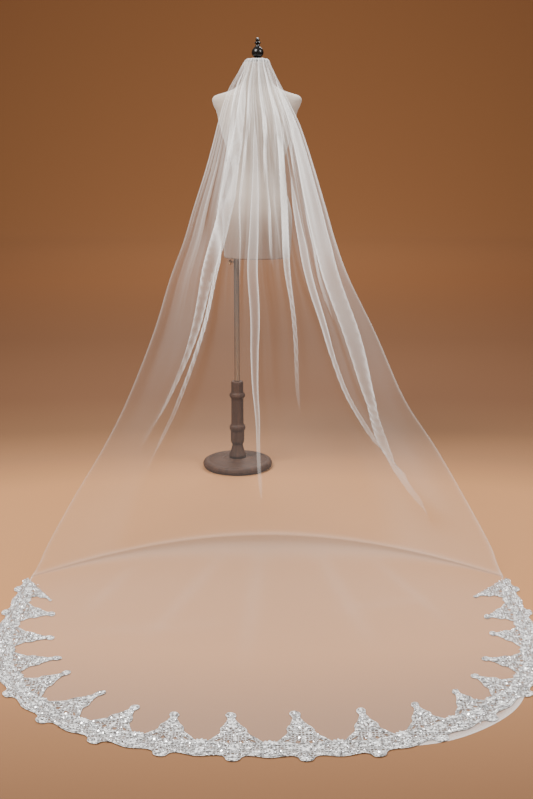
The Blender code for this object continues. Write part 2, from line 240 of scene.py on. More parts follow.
def netGroup():
    # fine net: threads round small cells, laid out in metres on the cloth's own map
    tree, given = newGroup("netThreads", {"Cell": 0.0018, "Thread": 0.22})
    place = addNode(tree, "ShaderNodeTexCoord").outputs["UV"]
    inputs = {"Vector": place, "Scale": mathNode(tree, "DIVIDE", 1.0, given["Cell"]), "Randomness": 0.35}
    cells = addNode(tree, "ShaderNodeTexVoronoi", inputs, feature="DISTANCE_TO_EDGE")
    share = mathNode(tree, "DIVIDE", cells.outputs["Distance"], given["Thread"])
    return closeGroup(tree, {"Threads": mathNode(tree, "SUBTRACT", 1.0, share, clamp=True)})


def fibreGroup():
    # soft mottled shade and a fine thread relief for covered and embroidered cloth
    tree, given = newGroup("clothFibre", {
        "Colour": (0.8, 0.8, 0.8, 1.0),
        "Shade": (0.7, 0.7, 0.7, 1.0),
        "Thread": 900.0,
        "Mottle": 9.0,
        "Contrast": 1.0,
    })
    place = addNode(tree, "ShaderNodeTexCoord").outputs["Object"]
    mottle = noiseNode(tree, place, given["Mottle"], {"Detail": 4.0})
    drawnOut = addNode(tree, "ShaderNodeMapping", {"Vector": place, "Scale": (1.0, 1.0, 0.35)})
    thread = noiseNode(tree, drawnOut.outputs["Vector"], given["Thread"], {"Detail": 2.0})
    blend = mathNode(tree, "MULTIPLY_ADD", thread, 0.45, -0.22)
    blend = mathNode(tree, "ADD", mottle, blend)
    blend = mathNode(tree, "SUBTRACT", blend, 0.48)
    blend = mathNode(tree, "MULTIPLY_ADD", blend, given["Contrast"], 0.55, clamp=True)
    colour = mixNode(tree, blend, given["Shade"], given["Colour"])
    return closeGroup(tree, {"Colour": colour, "Height": thread})


def wearGroup():
    # slow change of tone and gloss over metal and lacquer, with fine scuffs
    tree, given = newGroup("handledSurface", {
        "Colour": (0.5, 0.5, 0.5, 1.0),
        "Worn": (0.4, 0.4, 0.4, 1.0),
        "Gloss": 0.3,
        "Spread": 0.15,
        "Scale": 40.0,
    })
    place = addNode(tree, "ShaderNodeTexCoord").outputs["Object"]
    patch = noiseNode(tree, place, given["Scale"], {"Detail": 6.0, "Roughness": 0.6})
    rough = mathNode(tree, "MULTIPLY", patch, given["Spread"])
    return closeGroup(tree, {
        "Colour": mixNode(tree, patch, given["Colour"], given["Worn"]),
        "Roughness": mathNode(tree, "ADD", rough, given["Gloss"], clamp=True),
        "Height": noiseNode(tree, place, mathNode(tree, "MULTIPLY", given["Scale"], 14.0)),
    })


def addBump(material, height, strength, distance):
    inputs = {"Strength": strength, "Distance": distance, "Height": height}
    bump = addNode(material.node_tree, "ShaderNodeBump", inputs)
    feedShader(material, {"Normal": bump.outputs["Normal"]})


tulleLook = {
    "colour": (0.93, 0.92, 0.90),
    "shaded": (0.10, 0.065, 0.045),
    "roughness": 0.62,
    "sheen": 0.35,
    "net": {"Cell": 0.0018, "Thread": 0.25},
    # share of the cover between the threads, and what a thread adds
    "between": 0.62,
    "thread": 0.9,
    "relief": (0.15, 0.0003),
}


def tulleMaterial(net):
    # the cloth stores how much the net hides as "cover", and how deep it lies in shade as "shade"
    sheen = {"Sheen Weight": tulleLook["sheen"], "Sheen Roughness": 0.35}
    material = newMaterial("tulleNet", tulleLook["colour"], tulleLook["roughness"], sheen)
    tree = material.node_tree
    threads = placeGroup(material, net, tulleLook["net"])["Threads"]
    cover = addNode(tree, "ShaderNodeAttribute", attribute_name="cover").outputs["Fac"]
    shade = addNode(tree, "ShaderNodeAttribute", attribute_name="shade").outputs["Fac"]
    grain = mathNode(tree, "MULTIPLY_ADD", threads, tulleLook["thread"], tulleLook["between"])
    feedShader(material, {
        "Base Color": mixNode(tree, shade, tulleLook["colour"], tulleLook["shaded"]),
        "Alpha": mathNode(tree, "MULTIPLY", cover, grain, clamp=True),
    })
    addBump(material, threads, *tulleLook["relief"])
    return material


laceLook = {
    # painted shadow: near-black colour in the cells between the ground's threads, standing in for the shaded
    # floor seen through them
    "between": (0.045, 0.034, 0.028),
    "ground": (0.54, 0.53, 0.525),
    "groundNet": {"Cell": 0.0080, "Thread": 0.26},
    "groundAlpha": (0.55, 0.42),       # what a thread adds, and what is there without it
    "groundRelief": (0.5, 0.0006),
    "fibre": {"Thread": 1400.0, "Mottle": 160.0, "Contrast": 10.0},
    "fibreRelief": (0.6, 0.0005),
    # colour, shade between the stitches, roughness
    "thread": ((0.76, 0.75, 0.745), (0.035, 0.03, 0.026), 0.5),
    "cord": ((0.76, 0.755, 0.75), (0.10, 0.092, 0.088), 0.4),
}


def laceNetMaterial(net):
    material = newMaterial("laceGround", laceLook["ground"], 0.6, {"Sheen Weight": 0.3})
    tree = material.node_tree
    threads = placeGroup(material, net, laceLook["groundNet"])["Threads"]
    # the cells between the threads take the painted shadow colour
    feedShader(material, {
        "Base Color": mixNode(tree, threads, laceLook["between"], laceLook["ground"]),
        "Alpha": mathNode(tree, "MULTIPLY_ADD", threads, *laceLook["groundAlpha"], clamp=True),
    })
    addBump(material, threads, *laceLook["groundRelief"])
    return material


def threadMaterial(name, fibre, colour, shade, roughness):
    material = newMaterial(name, colour, roughness, {"Sheen Weight": 0.4})
    values = {"Colour": (*colour, 1.0), "Shade": (*shade, 1.0), **laceLook["fibre"]}
    look = placeGroup(material, fibre, values)
    feedShader(material, {"Base Color": look["Colour"]})
    addBump(material, look["Height"], *laceLook["fibreRelief"])
    return material


jerseyLook = {
    "roughness": 0.88,
    "sheen": 0.25,
    "fibre": {
        "Colour": (0.42, 0.355, 0.30, 1.0),
        "Shade": (0.335, 0.275, 0.225, 1.0),
        "Thread": 850.0,
        "Mottle": 7.0,
    },
    "relief": (0.35, 0.0004),
    # painted shade: the colour the lower torso darkens to, and the heights over which it comes in
    "paintedShade": (0.20, 0.125, 0.085),
    "paintedShadeFrom": 1.18,
    "paintedShadeTo": 0.84,
}


def coverMaterial(fibre):
    fabric = jerseyLook["fibre"]
    sheen = {"Sheen Weight": jerseyLook["sheen"]}
    material = newMaterial("formJersey", fabric["Colour"][:3], jerseyLook["roughness"], sheen)
    tree = material.node_tree
    look = placeGroup(material, fibre, fabric)
    # painted shade: darker towards the lower edge, where less light falls from above
    place = addNode(tree, "ShaderNodeTexCoord").outputs["Object"]
    height = addNode(tree, "ShaderNodeSeparateXYZ", {"Vector": place}).outputs["Z"]
    inputs = {"Value": height, "From Min": jerseyLook["paintedShadeFrom"], "From Max": jerseyLook["paintedShadeTo"]}
    share = addNode(tree, "ShaderNodeMapRange", inputs, interpolation_type="SMOOTHSTEP").outputs["Result"]
    feedShader(material, {"Base Color": mixNode(tree, share, look["Colour"], jerseyLook["paintedShade"])})
    addBump(material, look["Height"], *jerseyLook["relief"])
    return material


# metallic, relief, specular, colour, worn colour, roughness, its spread, scale of the wear
finishes = {
    "silverSequin": (0.9, 0.10, 0.50, (0.95, 0.96, 0.98), (0.80, 0.82, 0.86), 0.10, 0.15, 300.0),
    "brushedSteel": (1.0, 0.15, 0.50, (0.46, 0.44, 0.42), (0.32, 0.30, 0.28), 0.24, 0.20, 60.0),
    "agedBrass": (1.0, 0.20, 0.50, (0.66, 0.49, 0.24), (0.36, 0.25, 0.12), 0.22, 0.30, 160.0),
    "blackLacquer": (0.0, 0.08, 0.28, (0.004, 0.004, 0.004), (0.010, 0.008, 0.007), 0.16, 0.14, 90.0),
}


def handledMaterial(name, wear):
    metallic, relief, specular, colour, worn, gloss, spread, scale = finishes[name]
    material = newMaterial(name, colour, gloss, {"Metallic": metallic, "Specular IOR Level": specular})
    look = placeGroup(material, wear, {
        "Colour": (*colour, 1.0),
        "Worn": (*worn, 1.0),
        "Gloss": gloss,
        "Spread": spread,
        "Scale": scale,
    })
    feedShader(material, {"Base Color": look["Colour"], "Roughness": look["Roughness"]})
    addBump(material, look["Height"], relief, 0.0003)
    return material


woodLook = {
    "streaks": (60.0, 60.0, 5.0),
    "dark": (0.030, 0.0130, 0.0075),
    "light": (0.064, 0.030, 0.018),
    "roughness": (0.25, 0.50),         # what a light streak adds, and what is there without it
    "coat": 0.03,
    "specular": 0.14,
    "relief": (0.25, 0.0006),
}


def woodMaterial():
    # turned wood: long streaks up the column, darker pores, a satin varnish
    material = newMaterial("turnedWood", woodLook["light"], woodLook["roughness"][1], {
        "Coat Weight": woodLook["coat"],
        "Coat Roughness": 0.3,
        "Specular IOR Level": woodLook["specular"],
    })
    tree = material.node_tree
    place = addNode(tree, "ShaderNodeTexCoord").outputs["Object"]
    drawnOut = addNode(tree, "ShaderNodeMapping", {"Vector": place, "Scale": woodLook["streaks"]})
    streak = noiseNode(tree, drawnOut.outputs["Vector"], 1.0, {"Detail": 8.0, "Distortion": 0.6})
    ramp = addNode(tree, "ShaderNodeValToRGB", {"Fac": streak})
    for stop, position, colour in zip(ramp.color_ramp.elements, (0.30, 0.72), ("dark", "light")):
        stop.position = position
        stop.color = (*woodLook[colour], 1.0)
    feedShader(material, {
        "Base Color": ramp.outputs["Color"],
        "Roughness": mathNode(tree, "MULTIPLY_ADD", streak, *woodLook["roughness"]),
    })
    addBump(material, streak, *woodLook["relief"])
    return material


# Mesh helpers

def addPiece(name, verts, faces, materials):
    mesh = bpy.data.meshes.new(name)
    mesh.from_pydata([tuple(map(float, v)) for v in verts], [], [tuple(map(int, f)) for f in faces])
    mesh.shade_smooth()
    for material in materials:
        mesh.materials.append(material)
    piece = bpy.data.objects.new(name, mesh)
    bpy.context.collection.objects.link(piece)
    return piece


def takePlace(piece, node):
    # the piece stands for one solid, on the part's only body
    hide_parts(node)
    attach(piece, "root")
    return piece


def smoothStep(value):
    value = np.clip(value, 0.0, 1.0)
    return value * value * (3.0 - 2.0 * value)


def throughKnots(knots, values, at):
    # smooth curve through the knots, with the slopes that the neighbours give
    knots = np.asarray(knots, float)
    values = np.asarray(values, float)
    slopes = np.gradient(values, knots)
    i = np.clip(np.searchsorted(knots, at, side="right") - 1, 0, len(knots) - 2)
    step = knots[i + 1] - knots[i]
    f = (at - knots[i]) / step
    rise = (1 + 2 * f) * (1 - f) ** 2 * values[i] + f * f * (3 - 2 * f) * values[i + 1]
    return rise + f * (1 - f) * step * ((1 - f) * slopes[i] - f * slopes[i + 1])


def gridFaces(rows, columns, closed=False):
    faces = []
    for i in range(rows - 1):
        for j in range(columns if closed else columns - 1):
            a = i * columns + j
            b = i * columns + (j + 1) % columns
            faces.append((a, a + columns, b + columns, b))
    return faces


def tubeFaces(rings, sides, closed=False):
    # rings of points joined one to the next, both ends filled unless the tube runs into itself
    faces = []
    for i in range(rings if closed else rings - 1):
        j = (i + 1) % rings
        for k in range(sides):
            m = (k + 1) % sides
            faces.append((i * sides + k, i * sides + m, j * sides + m, j * sides + k))
    if not closed:
        faces.append(tuple(range(sides))[::-1])
        faces.append(tuple((rings - 1) * sides + k for k in range(sides)))
    return faces


def turnedPiece(name, profile, centre, sides, material):
    # profile is radius, height
    eased = easeProfile(profile)
    verts = []
    for radius, height in eased:
        for i in range(sides):
            turn = 2 * math.pi * i / sides
            verts.append((centre[0] + radius * math.cos(turn), centre[1] + radius * math.sin(turn), height))
    return addPiece(name, verts, tubeFaces(len(eased), sides), [material])


def easeProfile(profile, ease=0.22):
    # round every corner of a profile a little, with three points in place of one
    points = [profile[0]]
    for before, here, after in zip(profile, profile[1:], profile[2:]):
        here = np.array(here)
        lead = here + (np.array(before) - here) * ease
        tail = here + (np.array(after) - here) * ease
        points += [tuple(lead), tuple((lead + tail + 2 * here) / 4), tuple(tail)]
    points.append(profile[-1])
    return points


# Dress form and stand

form = {
    "axis": (0.081, 0.0),
    "finialAxis": (0.084, 0.0),
    "sides": 120,
    "rows": 150,
    # height, half width, depth in front, depth behind, squareness
    "sections": [
        (0.850, 0.128, 0.092, 0.098, 2.2),
        (0.900, 0.131, 0.096, 0.104, 2.2),
        (0.960, 0.134, 0.098, 0.110, 2.2),
        (1.015, 0.134, 0.096, 0.110, 2.2),
        (1.070, 0.121, 0.088, 0.098, 2.2),
        (1.120, 0.103, 0.079, 0.084, 2.1),
        (1.170, 0.094, 0.074, 0.077, 2.1),
        (1.215, 0.100, 0.083, 0.080, 2.1),
        (1.265, 0.116, 0.104, 0.087, 2.2),
        (1.310, 0.131, 0.113, 0.093, 2.3),
        (1.355, 0.143, 0.104, 0.095, 2.4),
        (1.395, 0.152, 0.088, 0.092, 2.4),
        (1.425, 0.165, 0.074, 0.084, 2.3),
        (1.443, 0.167, 0.065, 0.076, 2.3),
        (1.456, 0.153, 0.059, 0.069, 2.2),
        (1.468, 0.112, 0.054, 0.063, 2.0),
        (1.486, 0.074, 0.049, 0.056, 2.0),
        (1.515, 0.054, 0.047, 0.051, 2.0),
        (1.545, 0.048, 0.047, 0.048, 2.0),
        (1.574, 0.047, 0.047, 0.047, 2.0),
    ],
    "capProfile": [
        (0.0440, 1.5743), (0.0450, 1.5770), (0.0430, 1.5815),
    ],
    "finialProfile": [
        (0.0135, 1.5823), (0.0135, 1.5858), (0.0082, 1.5878), (0.0088, 1.5900),
        (0.0165, 1.5945), (0.0215, 1.6020), (0.0225, 1.6095), (0.0205, 1.6180), (0.0140, 1.6260),
        (0.0088, 1.6300), (0.0068, 1.6390), (0.0118, 1.6412), (0.0118, 1.6448), (0.0062, 1.6472),
        (0.0078, 1.6530), (0.0064, 1.6585), (0.0012, 1.6610),
    ],
}

stand = {
    "axis": (0.0, 0.0),
    "footProfile": [
        (0.1280, 0.0), (0.1365, 0.0050), (0.1400, 0.0150), (0.1365, 0.0250),
        (0.1285, 0.0300), (0.1180, 0.0305), (0.1150, 0.0280), (0.1000, 0.0330), (0.0620, 0.0370),
        (0.0590, 0.0350), (0.0400, 0.0400), (0.0010, 0.0400),
    ],
    "columnProfile": [
        (0.0340, 0.0403), (0.0335, 0.0520), (0.0270, 0.0680), (0.0205, 0.0930),
        (0.0270, 0.1050), (0.0275, 0.1520), (0.0310, 0.1560), (0.0325, 0.1640), (0.0310, 0.1720),
        (0.0245, 0.1760), (0.0240, 0.2860), (0.0300, 0.2900), (0.0315, 0.2970), (0.0300, 0.3040),
        (0.0240, 0.3090), (0.0240, 0.3500), (0.0215, 0.3550), (0.0115, 0.3550),
    ],
    "poleRadius": 0.0105,
    "poleFrom": 0.3553,
    "poleTo": 0.8417,
    "poleEase": 0.002,
    "socketProfile": [(0.0170, 0.8423), (0.0170, 0.8497), (0.0010, 0.8497)],
    "screwHeight": 0.829,
    "screwSides": 96,
    "screwRibs": 24,
    "screwRibShare": 0.05,
    # radius, reach from the pole's wall
    "screwProfile": [
        (0.0035, 0.0003), (0.0035, 0.0080), (0.0085, 0.0090),
        (0.0100, 0.0130), (0.0085, 0.0190), (0.0010, 0.0200),
    ],
}


def makeTorso(material):
    table = np.array(form["sections"])
    heights = np.linspace(table[0, 0], table[-1, 0], form["rows"])
    width, front, behind, square = [throughKnots(table[:, 0], table[:, k], heights) for k in (1, 2, 3, 4)]
    turn = np.linspace(0.0, 2 * math.pi, form["sides"], endpoint=False)
    c, s = np.cos(turn), np.sin(turn)
    verts = []
    for i, height in enumerate(heights):
        power = 2.0 / square[i]
        x = form["axis"][0] + width[i] * np.sign(c) * np.abs(c) ** power
        depth = np.where(s > 0, front[i], behind[i])
        y = depth * np.sign(s) * np.abs(s) ** power
        verts += list(zip(x, y, np.full_like(x, height)))
    faces = [f[::-1] for f in gridFaces(len(heights), form["sides"], closed=True)]
    faces.append(tuple(range(form["sides"]))[::-1])
    last = (len(heights) - 1) * form["sides"]
    faces.append(tuple(last + j for j in range(form["sides"])))
    takePlace(addPiece("coveredTorso", verts, faces, [material]), "torso")


def makeStand(wood, steel, brass, lacquer):
    radius, low, high, ease = stand["poleRadius"], stand["poleFrom"], stand["poleTo"], stand["poleEase"]
    pole = [(radius, low), (radius, low + ease), (radius, high - ease), (radius, high)]
    parts = [
        ("turnedFoot", "stand_foot", stand["footProfile"], stand["axis"], 128, wood, "wood"),
        ("turnedColumn", "stand_column", stand["columnProfile"], stand["axis"], 64, wood, "wood"),
        ("poleSocket", "pole_socket", stand["socketProfile"], stand["axis"], 48, steel, "steel"),
        ("neckCap", "neck_cap", form["capProfile"], form["axis"], 96, lacquer, "gloss_black"),
        ("turnedFinial", "finial", form["finialProfile"], form["finialAxis"], 64, lacquer, "gloss_black"),
        ("steelPole", "stand_pole", pole, stand["axis"], 48, steel, "steel"),
    ]
    for name, node, profile, axis, sides, material, slot in parts:
        takePlace(turnedPiece(name, profile, axis, sides, material), node)
    makeScrew(brass)


def makeScrew(brass):
    # thumbscrew with a ribbed rim, turned about a line along X
    sides = stand["screwSides"]
    verts = []
    profile = easeProfile(stand["screwProfile"])
    for radius, reach in profile:
        for i in range(sides):
            turn = 2 * math.pi * i / sides
            ribbed = stand["screwRibShare"] * math.cos(stand["screwRibs"] * turn)
            r = radius * (1.0 + ribbed) if radius > 0.008 else radius
            x = -stand["poleRadius"] - reach
            verts.append((x, -r * math.cos(turn), stand["screwHeight"] + r * math.sin(turn)))
    piece = addPiece("brassThumbscrew", verts, tubeFaces(len(profile), sides), [brass])
    takePlace(piece, "clamp_screw")


# Tulle

veil = {
    "middle": 0.128,
    "reachLeft": 0.755,
    "reachRight": 0.735,
    "reachFront": 0.750,
    "laceStarts": 1.140,
    "bendStarts": 1.395,
    "roundLeft": 2.4,
    "roundRight": 2.5,
    "hemInset": 0.022,
    "bareHem": 0.018,
    "bareMiddle": 0.68,
    "bareSpread": 0.07,
    "columns": 620,
    "fallRows": 110,
    "trainRows": 34,
    "cut": (1.5, 3.0),
    "cutArea": 4.1,
    # height, left edge, right edge, y in the middle, y at the edges, bow
    "sections": [
        (1.5850, 0.0500, 0.1120, -0.0315, -0.0060, 3.0),
        (1.5858, 0.0440, 0.1180, -0.0400, -0.0080, 3.0),
        (1.5835, 0.0385, 0.1235, -0.0490, -0.0110, 3.0),
        (1.5765, 0.0325, 0.1285, -0.0550, -0.0160, 3.0),
        (1.5620, 0.0240, 0.1340, -0.0610, -0.0280, 2.8),
        (1.5200, 0.0020, 0.1530, -0.0780, -0.0620, 2.5),
        (1.4780, -0.0200, 0.1750, -0.0980, -0.1020, 2.0),
        (1.4200, -0.0410, 0.2040, -0.1280, -0.1420, 2.0),
        (1.3530, -0.0590, 0.2360, -0.1630, -0.1860, 2.0),
        (1.2800, -0.0770, 0.2620, -0.2000, -0.2280, 2.0),
        (1.1840, -0.1030, 0.2920, -0.2430, -0.2800, 2.0),
        (1.0600, -0.1420, 0.3290, -0.2930, -0.3460, 2.0),
        (0.9500, -0.1740, 0.3610, -0.3360, -0.4100, 2.0),
        (0.8300, -0.2180, 0.4050, -0.3850, -0.4870, 2.0),
        (0.6600, -0.2680, 0.4890, -0.4560, -0.6060, 2.0),
        (0.4700, -0.3420, 0.5740, -0.5410, -0.7480, 2.0),
        (0.3350, -0.4120, 0.6660, -0.6030, -0.8560, 2.0),
        (0.2000, -0.4970, 0.7470, -0.6680, -0.9660, 2.0),
        (0.0800, -0.5650, 0.8140, -0.7280, -1.0660, 2.0),
        (0.0300, -0.5880, 0.8320, -0.7550, -1.1050, 2.0),
        (0.0100, -0.6000, 0.8410, -0.7700, -1.1240, 2.0),
        (0.0006, -0.6070, 0.8460, -0.7900, -1.1400, 2.0),
    ],
    # folds that lie over to one side: lift off the cloth, how tight the turn is, then for each
    # height the two edges of the fold as places across; it opens and closes at its ends
    "pleats": [
        (0.013, 0.007, [
            (1.45, 0.13, 0.17), (1.26, 0.15, 0.215), (1.09, 0.15, 0.19), (0.98, 0.16, 0.16),
        ]),
        (0.04, 0.011, [
            (1.42, 0.22, 0.33), (1.19, 0.16, 0.296), (1.09, 0.168, 0.3), (0.92, 0.152, 0.262),
            (0.76, 0.15, 0.208), (0.6, 0.14, 0.175), (0.44, 0.121, 0.142), (0.36, 0.113, 0.123),
            (0.31, 0.109, 0.109),
        ]),
        (0.012, 0.007, [
            (0.86, 0.228, 0.252), (0.6, 0.188, 0.208), (0.44, 0.17, 0.184), (0.32, 0.16, 0.17),
            (0.22, 0.158, 0.158),
        ]),
        (0.012, 0.006, [
            (1.5, 0.37, 0.41), (1.26, 0.332, 0.356), (1.09, 0.33, 0.346), (0.92, 0.366, 0.374),
            (0.76, 0.39, 0.39),
        ]),
        (0.012, 0.006, [
            (1.52, 0.56, 0.62), (1.4, 0.56, 0.61), (1.26, 0.535, 0.574), (1.1, 0.52, 0.535),
        ]),
        (0.016, 0.009, [
            (1.26, 0.43, 0.47), (1.09, 0.43, 0.49), (0.91, 0.424, 0.488), (0.75, 0.428, 0.482),
            (0.58, 0.432, 0.468), (0.42, 0.447, 0.466), (0.29, 0.46, 0.468), (0.1, 0.48, 0.484),
            (0.05, 0.484, 0.484),
        ]),
        (0.01, 0.006, [(1.03, 0.562, 0.58), (0.91, 0.562, 0.578), (0.84, 0.57, 0.57)]),
        (0.014, 0.007, [
            (1.52, 0.72, 0.79), (1.4, 0.715, 0.785), (1.26, 0.695, 0.75), (1.09, 0.672, 0.722),
            (0.92, 0.652, 0.698), (0.75, 0.648, 0.668), (0.58, 0.63, 0.643), (0.42, 0.608, 0.616),
            (0.34, 0.604, 0.604),
        ]),
        (0.016, 0.008, [
            (1.06, 0.756, 0.79), (0.92, 0.761, 0.808), (0.75, 0.767, 0.806), (0.59, 0.783, 0.803),
            (0.44, 0.804, 0.818), (0.32, 0.82, 0.834), (0.23, 0.856, 0.868), (0.14, 0.872, 0.872),
        ]),
        (0.008, 0.006, [
            (1.0, 0.85, 0.856), (0.92, 0.852, 0.868), (0.76, 0.838, 0.85), (0.66, 0.835, 0.835),
        ]),
        (0.042, 0.01, [
            (1.42, 0.89, 0.96), (1.26, 0.88, 0.972), (1.09, 0.872, 0.974), (0.92, 0.884, 0.974),
            (0.76, 0.884, 0.948), (0.6, 0.88, 0.926), (0.44, 0.876, 0.902), (0.32, 0.854, 0.87),
            (0.14, 0.885, 0.893), (0.08, 0.887, 0.887),
        ]),
    ],
    # narrow gathers that show light, or dark below nought: strength, breadth, height and place
    "lines": [
        (0.55, 0.01, [
            (1.55, 0.19), (1.4, 0.216), (1.26, 0.204), (1.09, 0.232), (0.92, 0.235), (0.8, 0.23),
        ]),
        (0.45, 0.007, [(1.55, 0.4), (1.4, 0.411), (1.26, 0.358), (1.16, 0.35)]),
        (0.55, 0.007, [
            (1.55, 0.6), (1.4, 0.621), (1.26, 0.556), (1.09, 0.565), (0.92, 0.577), (0.84, 0.58),
        ]),
        (0.6, 0.016, [
            (1.56, 0.84), (1.4, 0.85), (1.26, 0.727), (1.09, 0.697), (0.92, 0.679), (0.86, 0.675),
        ]),
        (0.5, 0.01, [(1.55, 0.93), (1.4, 0.95), (1.26, 0.831), (1.09, 0.762), (1.0, 0.75)]),
        (0.3, 0.008, [(1.35, 0.7), (1.26, 0.656), (1.09, 0.612), (0.92, 0.628), (0.86, 0.63)]),
        (-0.8, 0.018, [(1.52, 0.33), (1.4, 0.341), (1.26, 0.385), (1.09, 0.398), (0.98, 0.4)]),
        (-0.75, 0.02, [
            (1.54, 0.505), (1.4, 0.509), (1.26, 0.5), (1.09, 0.53), (0.92, 0.535), (0.86, 0.536),
        ]),
        (-0.6, 0.014, [(1.5, 0.7), (1.4, 0.69), (1.26, 0.615), (1.12, 0.64), (1.02, 0.645)]),
        (-0.6, 0.012, [(1.3, 0.8), (1.16, 0.79), (1.02, 0.735), (0.94, 0.735)]),
        (-0.5, 0.014, [(1.46, 0.1), (1.3, 0.105), (1.16, 0.11), (0.98, 0.13), (0.9, 0.135)]),
    ],
    # broad soft folds: place at 1.2 m and at the floor, depth, breadth, height where it ends
    "swells": [
        (0.06, 0.05, -0.014, 0.03, 0.3),
        (0.18, 0.11, 0.034, 0.028, 0.3),
        (0.29, 0.165, 0.03, 0.026, 0.26),
        (0.38, 0.37, 0.022, 0.024, 0.55),
        (0.43, 0.48, 0.034, 0.026, 0.1),
        (0.51, 0.53, 0.026, 0.024, 0.2),
        (0.6, 0.57, -0.018, 0.03, 0.4),
        (0.675, 0.61, 0.028, 0.024, 0.34),
        (0.715, 0.855, 0.036, 0.026, 0.12),
        (0.83, 0.886, 0.034, 0.024, 0.06),
        (0.93, 0.925, 0.024, 0.026, 0.3),
    ],
    # small waves of the gathers: how many across, height where loose, height where tight
    "gathers": (30, 0.0028, 0.0006),
    "slack": 0.0018,
    "lineLift": 0.004,
    # breadth of a fold's bright edge: least share of its turn, least width across
    "foldEdge": (0.30, 0.0027),
    "edgeHold": 0.02,
}

tulleCover = {
    # height and how much of the view one layer hides there
    "byHeight": [
        (0.0, 0.042), (0.45, 0.020), (0.80, 0.040), (1.05, 0.080),
        (1.25, 0.13), (1.45, 0.20), (1.56, 0.36), (1.60, 0.60),
    ],
    # uneven gathers: how closely they follow each other, how they lean, where they start
    "streaks": [
        (63.0, 2.0, 0.0), (97.0, -3.0, 1.3), (173.0, 2.5, 2.1), (251.0, -1.0, 0.4), (397.0, 1.5, 2.7),
    ],
    "floor": 0.068,
    "crease": 0.46,
    "selvedge": 0.16,
    "bend": 0.26,
    "outsideLace": 0.34,
    "laceEdge": 0.35,
    "most": 0.9,
    # shade in the bend onto the floor and in the topmost gathers
    "bendShade": 0.9,
    "topShade": 0.36,
    # faint lines on the train: from x, y to x, y, width, strength
    "trainLines": [
        (-0.02, -0.95, -0.20, -1.55, 0.024, 0.022),
        (0.10, -0.86, 0.06, -1.70, 0.028, 0.020),
        (0.28, -0.90, 0.40, -1.60, 0.026, 0.022),
        (0.46, -1.00, 0.62, -1.45, 0.022, 0.020),
        (-0.30, -1.05, -0.40, -1.40, 0.022, 0.020),
        (-0.40, -1.52, 0.00, -1.47, 0.024, 0.015),
        (0.30, -1.38, 0.60, -1.30, 0.024, 0.015),
    ],
}


def hemCurve():
    # outer edge of the lace on the floor, from the left end round to the right end
    turn = np.linspace(0.0, math.pi / 2, 120)
    sides = []
    halves = ((-veil["reachLeft"], veil["roundLeft"]), (veil["reachRight"], veil["roundRight"]))
    for reach, roundness in halves:
        across = np.cos(turn) ** (2.0 / roundness)
        along = np.sin(turn) ** (2.0 / roundness)
        y = -veil["bendStarts"] - veil["reachFront"] * along
        sides.append(np.stack([veil["middle"] + reach * across, y], 1))
    left, right = sides
    first = [[veil["middle"] - veil["reachLeft"], -veil["laceStarts"]]]
    last = [[veil["middle"] + veil["reachRight"], -veil["laceStarts"]]]
    path = np.concatenate([first, left, right[::-1][1:], last])
    steps = np.linalg.norm(np.diff(path, axis=0), axis=1)
    return path, np.concatenate([[0.0], np.cumsum(steps)])


hemPath, hemRun = hemCurve()
hemTotal = float(hemRun[-1])


def edgePoint(along):
    return np.stack([np.interp(along, hemRun, hemPath[:, k]) for k in (0, 1)], -1)


def hemPoint(along, inwards):
    # floor point by length along the lace's outer edge and distance inside it
    along = np.asarray(along, float)
    reach = 0.02
    heading = edgePoint(along + reach) - edgePoint(along - reach)
    heading /= np.linalg.norm(heading, axis=-1, keepdims=True)
    inward = np.stack([-heading[..., 1], heading[..., 0]], -1)
    return edgePoint(along) + inward * np.asarray(inwards)[..., None]


def bareShare(along):
    # nearly 1 along the right front, where the tulle's own hem shows outside the lace
    return np.exp(-((along / hemTotal - veil["bareMiddle"]) / veil["bareSpread"]) ** 4)


def clothInset(along):
    return veil["hemInset"] * (1.0 - bareShare(along))


def envelopeRows():
    table = np.array(veil["sections"])
    index = np.linspace(0, len(table) - 1, veil["fallRows"])
    columns = [throughKnots(np.arange(len(table)), table[:, k], index) for k in range(6)]
    columns[0][-1] = table[-1, 0]
    return np.stack(columns, 1)


def envelopePoint(rows, share):
    # rows is one envelope row per line, share the place across for each point of that row
    left, right, middle, edge, bow = [rows[:, k][:, None] for k in range(1, 6)]
    x = left + (right - left) * share
    y = middle + (edge - middle) * np.abs(2 * share - 1) ** bow
    return np.stack([x, y, np.broadcast_to(rows[:, 0][:, None], x.shape)], -1)


